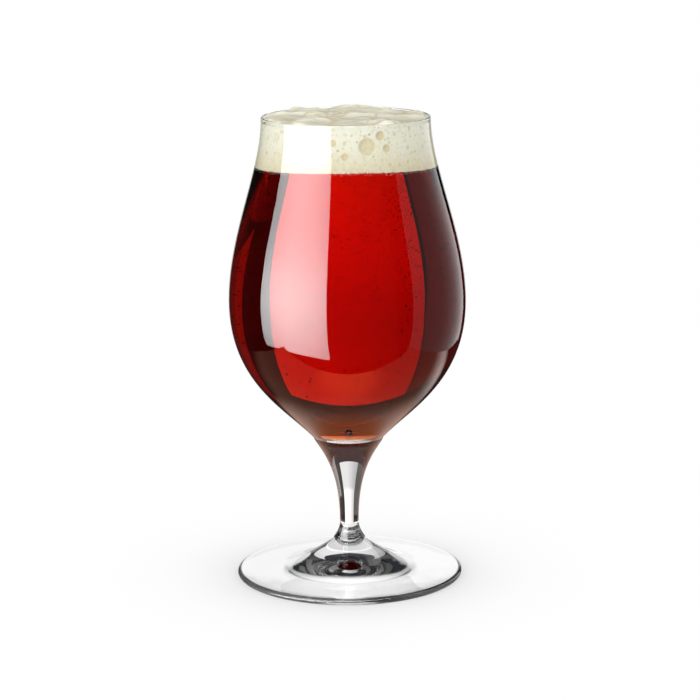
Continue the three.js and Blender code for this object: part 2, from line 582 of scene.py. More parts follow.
@dataclass(frozen=True)
class BeerFoam:
    """Cream foam, tan where its bubbles are open, and greyer on top, partly for its dried skin and partly
    by painted shade in the skin's low parts and creases.
    """

    cream: Colour = from_srgb(244, 241, 212)
    pale: Colour = from_srgb(250, 249, 238)
    tan: Colour = from_srgb(208, 182, 124)
    # Grey of the skin on top, which also carries painted shade in its low parts and creases.
    skin_and_painted_shade: Colour = from_srgb(172, 169, 154)
    patch_scale: float = 160.0
    patch_detail: float = 4.0
    mottle_scale: float = 700.0
    mottle_detail: float = 2.0
    mottle_base: float = 0.55
    speck_scales: Point = (620.0, 1150.0)
    speck_share: float = 0.42
    speck_tan: float = 0.95
    speck_edge: Point = (0.15, 0.42)
    fine_bubbles: float = 900.0
    bump_strength: float = 0.25
    bump_height: float = 0.3
    roughness: float = 0.6
    refraction: float = 1.33

    def material(self) -> Material:
        """Return the foam as a material."""
        material, graph = new_material("beer_foam")
        spot = graph.spot()
        noise = {"Vector": spot, "Scale": self.patch_scale, "Detail": self.patch_detail}
        patches = graph.add("ShaderNodeTexNoise", noise).outputs["Fac"]
        # The skin mark greys the top: partly the dried skin's own colour, partly painted shade in its low
        # parts and creases.
        skin_and_shade = graph.mark("skin_and_painted_shade")
        ground = graph.mix(skin_and_shade, graph.mix(patches, self.cream, self.pale), self.skin_and_painted_shade)
        noise = {"Vector": spot, "Scale": self.mottle_scale, "Detail": self.mottle_detail}
        mottle = graph.add("ShaderNodeTexNoise", noise).outputs["Fac"]
        mark = graph.math("MULTIPLY", graph.mark("tan"), graph.math("ADD", mottle, self.mottle_base))
        wet = graph.math("SUBTRACT", 1.0, skin_and_shade)
        for scale in self.speck_scales:
            specks = graph.math("MULTIPLY", wet, self._specks(graph, spot, scale))
            mark = graph.math("MAXIMUM", mark, specks)
        colour = graph.mix(mark, ground, self.tan)
        cells = graph.add("ShaderNodeTexVoronoi", {"Vector": spot, "Scale": self.fine_bubbles})
        height = {"Distance": self.bump_height * MM, "Height": cells.outputs["Distance"]}
        bump = graph.add("ShaderNodeBump", {"Strength": self.bump_strength, **height})
        foam = graph.add(
            "ShaderNodeBsdfPrincipled",
            {"Base Color": colour, "Roughness": self.roughness, "IOR": self.refraction, "Normal": bump},
        )
        graph.add("ShaderNodeOutputMaterial", {"Surface": foam})
        return material

    def _specks(self, graph: Graph, spot: NodeSocket, scale: float) -> NodeSocket:
        """Return a mask of small open bubbles.

        Args:
            graph: Graph that the nodes are added to.
            spot: Place on the foam.
            scale: Cells to the metre, of which a share holds a bubble.

        Returns:
            The socket with the mask.
        """
        cells = graph.add("ShaderNodeTexVoronoi", {"Vector": spot, "Scale": scale}).outputs
        chance = graph.add("ShaderNodeSeparateColor", {0: cells["Color"]}).outputs
        chosen = graph.math("LESS_THAN", chance["Red"], self.speck_share)
        inner, outer = self.speck_edge
        limits = {"From Min": inner, "From Max": outer, "To Min": self.speck_tan, "To Max": 0.0}
        dot = graph.add("ShaderNodeMapRange", {"Value": cells["Distance"], **limits}).outputs[0]
        return graph.math("MULTIPLY", graph.math("MULTIPLY", chosen, dot), chance["Green"])


@dataclass(frozen=True)
class Finishes:
    """Every material of the glass and its drink."""

    glass: dict[Meets, Material]
    ale: Material
    bubble: Material
    foam: Material

    GLASS_INDEX: ClassVar[float] = 1.52
    ALE_INDEX: ClassVar[float] = 1.345

    @classmethod
    def make(cls) -> "Finishes":
        """Make the materials."""
        indices = {
            Meets.AIR: cls.GLASS_INDEX,
            Meets.DRINK: cls.GLASS_INDEX / cls.ALE_INDEX,
            Meets.GLASS: 1.0,
        }
        waves = GlassWaves().group()
        return cls(
            glass={meets: ClearGlass(meets, index, waves).material() for meets, index in indices.items()},
            ale=RedAle().material(),
            bubble=GasBubble().material(),
            foam=BeerFoam().material(),
        )


# Pieces of the glass


class TurnedGlass(ABC):
    """A piece of clear glass that is turned from its half outline."""

    node: ClassVar[str]

    @abstractmethod
    def outline(self) -> Outline:
        """Return the half outline."""

    def build(self, lathe: Lathe, finishes: Finishes) -> None:
        """Turn, dress and place the piece.

        Args:
            lathe: Lathe that turns it.
            finishes: Materials to dress it with.
        """
        piece = lathe.turn(f"{self.node}_glass", self.outline(), finishes.glass)
        place(piece, "clear_glass", self.node)


@dataclass
class Foot(TurnedGlass):
    """Pressed disc with a rounded edge, a cone in the middle and a conical hollow under it."""

    node: ClassVar[str] = "foot"

    hub_height: float
    radius: float = 43.0
    edge: float = 2.3
    edge_round: float = 1.8
    rest_width: float = 5.0
    lift: float = 1.5
    hollow_radius: float = 24.0
    hollow_height: float = 3.0
    hollow_round: float = 0.2
    cone_radius: float = 27.0
    cone_thickness: float = 3.3
    cone_reach: float = 8.0
    hub_radius: float = 6.0
    hub_reach: float = 3.8
    hub_lean: float = 52.0
    seam_bevel: float = 0.3
    hollow_steps: int = 40
    edge_steps: int = 24
    cone_steps: int = 64

    def outline(self) -> Outline:
        """Return the half outline, from the middle of the underside round to the fused hub."""
        rest_outer = self.radius - self.edge_round
        rest_inner = rest_outer - self.rest_width
        slope = (self.cone_thickness - self.edge) / (rest_outer - self.cone_radius)
        hub_edge = self.hub_height - self.seam_bevel
        lean = math.radians(self.hub_lean)
        half = self.edge / 2
        hollow_top = self.lift + self.hollow_height
        lift_slope = self.lift / rest_inner
        turn = self.hollow_radius * self.hollow_round
        hollow_turn = self.hollow_radius - turn
        hollow = [
            (0, hollow_top),
            (turn, hollow_top),
            (hollow_turn, self.lift - hollow_turn * lift_slope),
            (self.hollow_radius, self.lift - self.hollow_radius * lift_slope),
        ]
        cone = [
            (self.cone_radius, self.cone_thickness),
            (self.cone_radius - self.cone_reach, self.cone_thickness + self.cone_reach * slope),
            (
                self.hub_radius + self.hub_reach * math.sin(lean),
                hub_edge - self.hub_reach * math.cos(lean),
            ),
            (self.hub_radius, hub_edge),
        ]
        hub = [(self.hub_radius - self.seam_bevel, self.hub_height), (0, self.hub_height)]
        return (
            Outline()
            .run(curve(hollow, self.hollow_steps))
            .run([(rest_inner, 0)])
            .run(arc((rest_outer, half), (self.edge_round, half), -90, 90, self.edge_steps))
            .run(curve(cone, self.cone_steps))
            .run(hub, Meets.GLASS)
        )


@dataclass
class Stem(TurnedGlass):
    """Solid drawn stem, narrow above the foot and flaring out under the bowl."""

    node: ClassVar[str] = "stem"

    hub_height: float
    base_height: float
    hub_radius: float = 6.0
    seam_bevel: float = 0.3
    waist_rise: float = 6.5
    waist_radius: float = 3.6
    waist_reach_down: float = 3.0
    waist_reach_up: float = 21.5
    base_radius: float = 13.8
    flare_reach: float = 7.0
    flare_lean: float = 29.0
    taper_steps: int = 24
    flare_steps: int = 72

    def outline(self) -> Outline:
        """Return the half outline, from the fused hub up to the fused base of the bowl."""
        waist = self.hub_height + self.waist_rise
        lean = math.radians(self.flare_lean)
        hub = [(0, self.hub_height), (self.hub_radius - self.seam_bevel, self.hub_height)]
        taper = [
            (self.hub_radius, self.hub_height + self.seam_bevel),
            (self.waist_radius, waist - self.waist_reach_down),
            (self.waist_radius, waist),
        ]
        flare = [
            (self.waist_radius, waist),
            (self.waist_radius, waist + self.waist_reach_up),
            (
                self.base_radius - self.flare_reach * math.sin(lean),
                self.base_height - self.flare_reach * math.cos(lean),
            ),
            (self.base_radius, self.base_height),
        ]
        top = [(self.base_radius, self.base_height), (0, self.base_height)]
        return (
            Outline()
            .run(hub, Meets.GLASS)
            .run(curve(taper, self.taper_steps))
            .run(curve(flare, self.flare_steps)[1:-1])
            .run(top, Meets.GLASS)
        )


@dataclass
class Bowl(TurnedGlass):
    """Thin tulip bowl with a round rim and a thicker floor; the beer and the foam follow its wall."""

    node: ClassVar[str] = "bowl"
    FINE: ClassVar[int] = 2000
    NEAR: ClassVar[float] = 1e-4

    base_height: float
    rim_height: float
    base_radius: float = 13.8
    base_reach: float = 16.0
    base_lean: float = 47.0
    belly_rise: float = 52.0
    belly_radius: float = 44.65
    belly_reach_down: float = 29.5
    belly_reach_up: float = 25.8
    rim_radius: float = 31.6
    rim_reach: float = 19.4
    rim_wall: float = 1.1
    base_wall: float = 2.2
    floor_thickness: float = 1.6
    floor_rise: float = 12.0
    foam_drop: float = 0.4
    wall_steps: int = 90
    floor_steps: int = 24
    rim_steps: int = 16

    @property
    def rim_start(self) -> float:
        """Height at which the round rim starts."""
        return self.rim_height - self.rim_wall / 2

    @property
    def foam_edge(self) -> float:
        """Height that the foam wets the wall up to."""
        return self.rim_height - self.foam_drop

    def _spans(self) -> tuple[list[Point], list[Point]]:
        """Return the control points of the outside below and above the belly."""
        lean = math.radians(self.base_lean)
        belly = self.base_height + self.belly_rise
        lower = [
            (self.base_radius, self.base_height),
            (
                self.base_radius + self.base_reach * math.cos(lean),
                self.base_height + self.base_reach * math.sin(lean),
            ),
            (self.belly_radius, belly - self.belly_reach_down),
            (self.belly_radius, belly),
        ]
        upper = [
            (self.belly_radius, belly),
            (self.belly_radius, belly + self.belly_reach_up),
            (self.rim_radius, self.rim_start - self.rim_reach),
            (self.rim_radius, self.rim_start),
        ]
        return lower, upper

    def wall(self, shares: np.ndarray, depth: float | None) -> np.ndarray:
        """Return points up the wall.

        Args:
            shares: Where, from 0 at the crease over 1 at the belly to 2 at the rim.
            depth: How far inside the inner side, or None for the outside.

        Returns:
            Radius and height of each point.
        """
        lower, upper = self._spans()
        below = shares <= 1
        points = np.where(
            below[:, None], bezier(lower, np.minimum(shares, 1)), bezier(upper, np.maximum(shares - 1, 0))
        )
        if depth is None:
            return points
        along = np.where(
            below[:, None],
            bezier_slope(lower, np.minimum(shares, 1)),
            bezier_slope(upper, np.maximum(shares - 1, 0)),
        )
        thickness = np.interp(
            points[:, 1], [self.base_height, self.rim_start], [self.base_wall, self.rim_wall]
        )
        inwards = np.stack([-along[:, 1], along[:, 0]], axis=1)
        return points + inwards * (thickness + depth)[:, None]

    def share_at(self, height: float, depth: float) -> float:
        """Return where the inner side, moved in by a depth, reaches a height."""
        shares = np.linspace(0, 2, 2 * self.FINE + 1)
        return float(np.interp(height, self.wall(shares, depth)[:, 1], shares))

    def stretch(self, start: float, end: float, depth: float | None) -> np.ndarray:
        """Return evenly spaced points up the wall.

        Args:
            start: Share of the first point.
            end: Share of the last point.
            depth: How far inside the inner side, or None for the outside.

        Returns:
            Radius and height of each point.
        """
        shares = np.linspace(start, end, self.FINE + 1)
        steps = np.linalg.norm(np.diff(self.wall(shares, depth), axis=0), axis=1)
        travelled = np.concatenate([[0], np.cumsum(steps)])
        even = np.interp(np.linspace(0, travelled[-1], self.wall_steps + 1), travelled, shares)
        return self.wall(even, depth)

    def floor(self, depth: float) -> tuple[np.ndarray, float]:
        """Return the floor of the bowl.

        Args:
            depth: How far above the glass.

        Returns:
            Points from the middle out to the wall, and the share of the wall that they meet.
        """
        height = self.base_height + self.floor_thickness + depth
        share = self.share_at(height + self.floor_rise, depth)
        end, ahead = self.wall(np.array([share, share + self.NEAR]), depth)
        lean = (ahead[0] - end[0]) / (ahead[1] - end[1])
        corner = (end[0] - self.floor_rise * lean, height)
        return curve([(0, height), corner, tuple(end)], self.floor_steps), share

    def outline(self) -> Outline:
        """Return the half outline: fused base, outside, rim, inner side and floor."""
        floor, floor_share = self.floor(0)
        foam_share = self.share_at(self.foam_edge, 0)
        rim_centre = (self.rim_radius - self.rim_wall / 2, self.rim_start)
        half = self.rim_wall / 2
        base = [(0, self.base_height), (self.base_radius, self.base_height)]
        return (
            Outline()
            .run(base, Meets.GLASS)
            .run(self.stretch(0, 2, None)[1:])
            .run(arc(rim_centre, (half, half), 0, 180, self.rim_steps)[1:])
            .run(self.stretch(floor_share, foam_share, 0)[::-1], Meets.DRINK)
            .run(floor[:-1][::-1], Meets.DRINK)
        )


@dataclass(frozen=True)
class Scatter:
    """Small round bubbles strewn a little way in from a surface, fewer where it lies low."""

    count: int
    sizes: Point
    reach: Point
    seed: int
    fade: Point = (-1.0, 0.0)

    SEGMENTS: ClassVar[int] = 5
    RINGS: ClassVar[int] = 3

    def grow_on(self, name: str, surface: Mesh, finish: Material) -> Object:
        """Strew the bubbles.

        Args:
            name: Name of the new object.
            surface: Mesh that they lie on, which becomes the bubbles.
            finish: Material of the bubbles.

        Returns:
            The new object.
        """
        area = sum(face.area for face in surface.polygons)
        bubbles = new_object(name, surface)
        values = {
            "Density": self.count / area,
            "None Below": self.fade[0] * MM,
            "Full Above": self.fade[1] * MM,
            "Seed": self.seed,
            "Least Size": self.sizes[0] * MM,
            "Greatest Size": self.sizes[1] * MM,
            "Least Reach": self.reach[0],
            "Greatest Reach": self.reach[1],
            "Bubble": finish,
        }
        grow(bubbles, self._tree(values), values)
        return bubbles

    def _tree(self, names: Iterable[str]) -> NodeTree:
        """Build geometry nodes that scatter bubbles inwards from a surface.

        Args:
            names: Names of the inputs beside the surface.

        Returns:
            The tree.
        """
        kinds = {"Seed": "Int", "Bubble": "Material"}
        inputs = {"Surface": "Geometry", **{name: kinds.get(name, "Float") for name in names}}
        graph = new_group("Scattered bubbles", "Geometry", inputs, ("Bubbles", "Geometry"))
        given = graph.add("NodeGroupInput").outputs
        seed = given["Seed"]
        spot = graph.add("GeometryNodeInputPosition")
        limits = {"From Min": given["None Below"], "From Max": given["Full Above"]}
        share = graph.add("ShaderNodeMapRange", {"Value": graph.ways(spot)["Z"], **limits}).outputs[0]
        density = graph.math("MULTIPLY", given["Density"], share)
        strewn = {"Mesh": given["Surface"], "Density": density, "Seed": seed}
        points = graph.add("GeometryNodeDistributePointsOnFaces", strewn)
        limits = {2: given["Least Reach"], 3: given["Greatest Reach"], "Seed": seed}
        reach = graph.add("FunctionNodeRandomValue", limits).outputs[1]
        shrink = graph.add("ShaderNodeCombineXYZ", {"X": reach, "Y": reach, "Z": 1.0})
        moved = graph.add("ShaderNodeVectorMath", {0: spot, 1: shrink}, operation="MULTIPLY")
        points = graph.add("GeometryNodeSetPosition", {"Geometry": points, "Position": moved})
        limits = {2: given["Least Size"], 3: given["Greatest Size"], "Seed": graph.whole("ADD", seed, 1)}
        size = graph.add("FunctionNodeRandomValue", limits).outputs[1]
        shape = {"Segments": self.SEGMENTS, "Rings": self.RINGS, "Radius": 1.0}
        ball = graph.add("GeometryNodeMeshUVSphere", shape)
        instances = {"Points": points, "Instance": ball, "Scale": size}
        balls = graph.add("GeometryNodeInstanceOnPoints", instances)
        balls = graph.add("GeometryNodeRealizeInstances", {"Geometry": balls})
        balls = graph.add("GeometryNodeSetShadeSmooth", {"Geometry": balls})
        balls = graph.add("GeometryNodeSetMaterial", {"Geometry": balls, "Material": given["Bubble"]})
        graph.add("NodeGroupOutput", {0: balls})
        return graph.tree


@dataclass
class Beer:
    """Red ale that fills the bowl and reaches up into the foam, with fine bubbles in it."""

    bowl: Bowl
    fill_height: float
    gap: float = 0.3
    reach_up: float = 1.9
    bubbles: Scatter = Scatter(13500, (0.1, 0.22), (0.75, 0.99), 7, (70.0, 140.0))

    def outline(self) -> Outline:
        """Return the half outline, from the middle of the floor round to the middle of the surface."""
        floor, floor_share = self.bowl.floor(self.gap)
        top = self.fill_height + self.reach_up
        top_share = self.bowl.share_at(top, self.gap)
        wall = self.bowl.stretch(floor_share, top_share, self.gap)
        return Outline().run(floor).run(wall[1:]).run([(0, top)])

    def build(self, lathe: Lathe, finishes: Finishes) -> None:
        """Turn, dress and place the beer and its bubbles.

        Args:
            lathe: Lathe that turns the beer.
            finishes: Materials to dress them with.
        """
        piece = lathe.turn("ale", self.outline(), dict.fromkeys(Meets, finishes.ale))
        piece.visible_shadow = False
        place(piece, "red_ale", "beer")
        bubbles = self.bubbles.grow_on("ale_bubbles", piece.data.copy(), finishes.bubble)
        bubbles.visible_shadow = False
        place(bubbles, "red_ale")


@dataclass(frozen=True)
class OpenBubble:
    """A bubble of the foam that has opened against the glass."""

    bearing: float
    drop: float
    width: float
    depth: float = 0.5
    tan: float = 0.7


@dataclass(frozen=True)
class SmallBubbles:
    """Small open bubbles at random places all round the foam, most of them narrow."""

    count: int = 420
    drops: Point = (2.0, 17.5)
    widths: Point = (0.5, 1.8)
    wideness: float = 0.35
    depth: float = 0.3
    tans: Point = (0.2, 0.7)

    def draw(self, rng: np.random.Generator) -> list[OpenBubble]:
        """Draw the bubbles.

        Args:
            rng: Source of chance.

        Returns:
            One entry for each bubble.
        """
        narrow, wide = self.widths
        return [
            OpenBubble(
                float(rng.uniform(-180, 180)),
                float(rng.uniform(*self.drops)),
                float(narrow + (wide - narrow) * rng.power(self.wideness)),
                self.depth,
                float(rng.uniform(*self.tans)),
            )
            for _ in range(self.count)
        ]


@dataclass(frozen=True)
class Fold:
    """Folds in the skin of the foam that run side by side."""

    bearing: float
    spacing: float
    height: float


@dataclass(frozen=True)
class FoamSkin:
    """Crumpled skin on top of the foam: folds that wander and cross, with painted shade that greys it where
    it lies low and along its creases.
    """

    rings: int = 70
    crown: float = 0.3
    rise: float = 0.75
    edge_share: float = 0.022
    folds: tuple[Fold, ...] = (
        Fold(78, 17, 1.05),
        Fold(14, 22, 0.75),
        Fold(131, 12, 0.6),
        Fold(40, 8, 0.38),
        Fold(100, 6, 0.2),
    )
    wander: float = 0.4
    wave_count: int = 3
    wave_lengths: Point = (14.0, 34.0)
    crease_width: float = 0.7
    crease_tan: float = 0.6
    crease_share: float = 0.5
    crease_change: float = 1.2
    # Grey of the skin, then painted shade added where it lies low and along its creases.
    grey: float = 0.6
    shade_by_depth: float = 1.0
    shade_by_crease: float = 0.5
    grey_least: float = 0.25

    def shape(
        self, rng: np.random.Generator, turns: np.ndarray, edge: Point
    ) -> tuple[np.ndarray, np.ndarray, np.ndarray]:
        """Shape the skin.

        Args:
            rng: Source of chance.
            turns: Angles of the turn steps.
            edge: Radius and height at which the skin meets the side.

        Returns:
            Places of its points by ring and turn step, how tan each one is, and how grey, with painted
            shade in its low parts and creases.
        """
        shares = np.linspace(1, 0, self.rings + 1)[1:-1, None]
        across = edge[0] * shares * np.sin(turns)
        along = -edge[0] * shares * np.cos(turns)
        crumple = np.zeros_like(across)
        crease = np.zeros_like(across)
        for fold in self.folds:
            bearing = math.radians(fold.bearing)
            count = (across * math.cos(bearing) + along * math.sin(bearing)) / fold.spacing
            count = count + rng.uniform(0, 1) + self.wander * self._waves(rng, across, along)
            up = np.abs(2 * (count % 1) - 1)
            crumple += fold.height * (up - 0.5)
            line = np.clip(1 - up * fold.spacing / 2 / self.crease_width, 0, 1)
            strength = self.crease_share + self.crease_change * self._waves(rng, across, along)
            crease = np.maximum(crease, line * np.clip(strength, 0, 1))
        edge_fade = np.clip((1 - shares) / self.edge_share, 0, 1)
        height = edge[1] + (self.rise + self.crown * (1 - shares**2) + crumple) * edge_fade
        depth = -crumple / sum(fold.height for fold in self.folds)
        # Painted shade: the skin greys where it lies low and along its creases.
        grey = self.grey + self.shade_by_depth * depth + self.shade_by_crease * crease
        places = np.stack([across, along, height], axis=2)
        return places, self.crease_tan * crease, np.clip(grey, self.grey_least, 1)

    def _waves(self, rng: np.random.Generator, across: np.ndarray, along: np.ndarray) -> np.ndarray:
        """Return crossing waves of random lengths and bearings.

        Args:
            rng: Source of chance.
            across: X of each point.
            along: Y of each point.

        Returns:
            The height of the waves at each point, at most 1.
        """
        total = np.zeros_like(across)
        for _ in range(self.wave_count):
            bearing = rng.uniform(0, math.tau)
            length = rng.uniform(*self.wave_lengths)
            way = (across * math.cos(bearing) + along * math.sin(bearing)) / length
            total += np.sin(math.tau * (way + rng.uniform(0, 1))) / self.wave_count
        return total


@dataclass(frozen=True)
class Froth:
    """Small bubbles of foam against the glass, between two levels above the top of the beer."""

    name: str
    levels: Point
    bubbles: Scatter


@dataclass
class FoamHead:
    """Head of foam with open bubbles round its side and a crumpled skin on top."""

    bowl: Bowl
    fill_height: float
    gap: float = 0.22
    turn_steps: int = 640
    side_steps: int = 56
    band_steps: int = 11
    front_lift: float = 1.6
    low_tan: float = 0.5
    tan_end: float = 1.1
    tan_fade: float = 0.3
    tan_middle: float = 0.7
    peak_grey: float = 0.5
    sharp: float = 60.0
    seed: int = 11
    skin: FoamSkin = FoamSkin()
    small_bubbles: SmallBubbles = SmallBubbles()
    main_bubbles: tuple[OpenBubble, ...] = (
        OpenBubble(14.3, 7.8, 6.5, 0.8, 0.62),
        OpenBubble(23.6, 3.9, 3.5),
        OpenBubble(28.0, 8.6, 3.0),
        OpenBubble(-0.7, 11.2, 2.7),
        OpenBubble(-8.8, 6.3, 2.6),
        OpenBubble(-56.6, 13.7, 2.6, 0.5, 0.4),
        OpenBubble(-54.3, 5.5, 3.6, 0.5, 0.3),
    )
    froth: tuple[Froth, ...] = (
        Froth("foam_edge_bubbles", (-0.35, 0.15), Scatter(1100, (0.08, 0.34), (0.99, 0.999), 5)),
        Froth("froth_close", (-1.2, -0.1), Scatter(700, (0.05, 0.13), (0.985, 0.998), 6)),
    )

    @property
    def turns(self) -> np.ndarray:
        """Angles of the turn steps, in radians from the front."""
        return np.linspace(0, math.tau, self.turn_steps, endpoint=False)

    def _lift(self) -> np.ndarray:
        """Return how far the foot of the foam stands above its lowest level, most at the front."""
        return self.front_lift * np.clip(np.cos(self.turns), 0, 1) ** 2

    def _round(self, radius: np.ndarray, height: np.ndarray) -> np.ndarray:
        """Return places round the axis, one for each turn step."""
        return np.stack([radius * np.sin(self.turns), -radius * np.cos(self.turns), height], axis=-1)

    def _profile(self, low: float, high: float, steps: int) -> np.ndarray:
        """Return points up the wall.

        Args:
            low: Height of the first point.
            high: Height of the last point.
            steps: Steps between them.

        Returns:
            Radius and height of each point.
        """
        ends = (self.bowl.share_at(height, self.gap) for height in (low, high))
        return self.bowl.wall(np.linspace(*ends, steps + 1), self.gap)

    def _side(self, rng: np.random.Generator) -> tuple[np.ndarray, np.ndarray]:
        """Return the side of the foam.

        Args:
            rng: Source of chance.

        Returns:
            Places of its points by row and turn step, and how tan each one is.
        """
        profile = self._profile(self.fill_height, self.bowl.foam_edge, self.side_steps)
        upward = (profile[-1, 1] - profile[:, 1:]) / (profile[-1, 1] - profile[0, 1])
        height = profile[:, 1:] + upward * self._lift()
        radius = np.interp(height, profile[:, 1], profile[:, 0])
        dent = np.zeros_like(radius)
        depth_share = (height[-1] - height) / (height[-1] - height[0])
        tan = self.low_tan * depth_share**2
        for bubble in [*self.main_bubbles, *self.small_bubbles.draw(rng)]:
            bearing = math.radians(bubble.bearing)
            swing = (self.turns - bearing + math.pi) % math.tau - math.pi
            far = np.hypot(swing * radius, height - (self.bowl.rim_height - bubble.drop))
            far = far / (bubble.width / 2)
            dent = np.maximum(dent, bubble.depth * np.sqrt(np.clip(1 - far**2, 0, 1)))
            inside = np.clip((self.tan_end - far) / self.tan_fade, 0, 1)
            inside *= self.tan_middle + (1 - self.tan_middle) * np.clip(far, 0, 1) ** 2
            tan = np.maximum(tan, bubble.tan * inside)
        dent[[0, -1]] = 0
        return self._round(radius - dent, height), tan

    def mesh(self) -> Mesh:
        """Return the foam as one closed mesh with its tan mark, and a grey mark of skin and painted shade.
        """
        rng = np.random.default_rng(self.seed)
        side, side_tan = self._side(rng)
        edge = (float(np.hypot(side[-1, 0, 0], side[-1, 0, 1])), float(side[-1, 0, 2]))
        skin, skin_tan, skin_grey = self.skin.shape(rng, self.turns, edge)
        rings = np.concatenate([side, skin])
        ends = [(0, 0, self.fill_height), (0, 0, float(skin[-1, :, 2].mean()))]
        places = np.concatenate([rings.reshape(-1, 3), ends]) * MM
        faces = ring_faces(len(rings), self.turn_steps)
        bottom, peak = len(places) - 2, len(places) - 1
        last = bottom - self.turn_steps
        for step in range(self.turn_steps):
            after = (step + 1) % self.turn_steps
            faces.append((bottom, after, step))
            faces.append((last + step, last + after, peak))
        mesh = new_mesh("head_foam", places.tolist(), faces)
        set_mark(mesh, "tan", np.concatenate([side_tan.ravel(), skin_tan.ravel(), [0, 0]]))
        # The grey mark holds the skin's grey and its painted shade, none on the side.
        grey = [np.zeros(side_tan.size), skin_grey.ravel(), [0, self.peak_grey]]
        set_mark(mesh, "skin_and_painted_shade", np.concatenate(grey))
        mesh.shade_smooth()
        mesh.set_sharp_from_angle(angle=math.radians(self.sharp))
        return mesh

    def _band(self, froth: Froth) -> Mesh:
        """Return a narrow band round the side of the drink.

        Args:
            froth: The bubbles that lie on it.

        Returns:
            The band as a mesh.
        """
        low, high = (self.fill_height + level for level in froth.levels)
        profile = self._profile(low, high + self.front_lift, self.band_steps)
        rings = []
        for level in (low, high):
            height = level + self._lift()
            rings.append(self._round(np.interp(height, profile[:, 1], profile[:, 0]), height))
        places = np.concatenate(rings) * MM
        return new_mesh(froth.name, places.tolist(), ring_faces(len(rings), self.turn_steps))

    def build(self, finishes: Finishes) -> None:
        """Shape, dress and place the foam and its froth.

        Args:
            finishes: Materials to dress them with.
        """
        piece = new_object("head_foam", self.mesh(), finishes.foam)
        place(piece, "beer_foam", "foam_head")
        for froth in self.froth:
            bubbles = froth.bubbles.grow_on(froth.name, self._band(froth), finishes.foam)
            place(bubbles, "beer_foam")


# Studio


class Ray(Enum):
    """Kind of ray that may meet a piece of the studio."""

    CAMERA = "visible_camera"
    MATT = "visible_diffuse"
    MIRRORED = "visible_glossy"
    THROUGH_GLASS = "visible_transmission"
    SHADOW = "visible_shadow"


def let_meet(piece: Object, *rays: Ray) -> None:
    """Let only some kinds of ray meet a piece of the studio."""
    for ray in Ray:
        setattr(piece, ray.value, ray in rays)


class Column(NamedTuple):
    """Place round the glass: degrees to the right of the camera, metres from the axis, and brightness."""

    bearing: float
    distance: float
    level: float


class Row(NamedTuple):
    """Place up a sheet: share of the distance, height in metres, and shares of the brightness and width."""

    reach: float
    height: float
    share: float = 1.0
    spread: float = 1.0


@dataclass
class Sheet:
    """A glowing sheet that only the glass shows: a softbox, a reflector or a white sweep."""

    name: str
    columns: tuple[Column, ...]
    rows: tuple[Row, ...]
    rays: tuple[Ray, ...] = (Ray.MIRRORED, Ray.THROUGH_GLASS)
    finer: int = 6

    def _refine(self, stops: Sequence[Column | Row]) -> np.ndarray:
        """Spread stops evenly between the given ones.

        Args:
            stops: The given stops.

        Returns:
            One row for each stop.
        """
        where = np.arange(len(stops))
        finely = np.linspace(0, len(stops) - 1, (len(stops) - 1) * self.finer + 1)
        return np.stack([np.interp(finely, where, values) for values in zip(*stops)], axis=1)

    def build(self) -> None:
        """Put the sheet up."""
        columns = self._refine(self.columns)
        rows = self._refine(self.rows)
        middle = (self.columns[0].bearing + self.columns[-1].bearing) / 2
        places = []
        levels = []
        for reach, height, share, spread in rows:
            for bearing, distance, level in columns:
                angle = math.radians(middle + (bearing - middle) * spread)
                out = distance * reach
                places.append((out * math.sin(angle), -out * math.cos(angle), height))
                levels.append(level * share)
        count = len(columns)
        starts = [row * count + column for row in range(len(rows) - 1) for column in range(count - 1)]
        mesh = new_mesh(self.name, places, [(i, i + 1, i + count + 1, i + count) for i in starts])
        set_mark(mesh, "level", levels)
        sheet = new_object(self.name, mesh, self._material())
        let_meet(sheet, *self.rays)

    def _material(self) -> Material:
        """Return a glow as bright as each point's level."""
        material, graph = new_material(self.name, glows=True)
        graph.add("ShaderNodeOutputMaterial", {"Surface": graph.glow(WHITE, graph.mark("level"))})
        return material


@dataclass
class Lamp:
    """A soft square lamp that lights the foam and the floor."""

    name: str
    position: Place
    size: float
    power: float

    def build(self, target: Vector) -> None:
        """Hang the lamp and aim it.

        Args:
            target: Place that it shines at.
        """
        data = bpy.data.lights.new(self.name, "AREA")
        data.size = self.size
        data.energy = self.power
        lamp = bpy.data.objects.new(self.name, data)
        lamp.location = self.position
        lamp.rotation_euler = (target - lamp.location).to_track_quat("-Z", "Y").to_euler()
        let_meet(lamp, Ray.MATT, Ray.SHADOW)
        bpy.context.scene.collection.objects.link(lamp)


@dataclass
class Floor:
    """White floor that keeps a soft shadow round the foot and is pure white farther out."""

    radius: float = 3.0
    steps: int = 64
    colour: Colour = (0.93, 0.93, 0.93)
    centre: Place = (0.0, -0.003, 0.0)
    start: float = 0.043
    fade: float = 0.016

    def build(self) -> None:
        """Lay the floor."""
        mesh = new_mesh("floor", ring(self.radius, 0.0, self.steps), [tuple(range(self.steps))])
        floor = new_object("floor", mesh, self._material())
        let_meet(floor, Ray.CAMERA, Ray.MATT, Ray.SHADOW)

    def _material(self) -> Material:
        """Return matt white near the foot that turns into a glow of 1 for the camera."""
        material, graph = new_material("floor", glows=True)
        matt = graph.add("ShaderNodeBsdfDiffuse", {"Color": self.colour})
        far = graph.distance(graph.spot(), self.centre)
        past = graph.math("DIVIDE", graph.math("SUBTRACT", self.start, far), self.fade)
        shaded = graph.math("EXPONENT", graph.math("MINIMUM", past, 0.0))
        path = graph.add("ShaderNodeLightPath").outputs
        share = graph.math("MULTIPLY", graph.math("SUBTRACT", 1.0, shaded), path["Is Camera Ray"])
        graph.add("ShaderNodeOutputMaterial", {"Surface": graph.blend(share, matt, graph.glow(WHITE))})
        return material


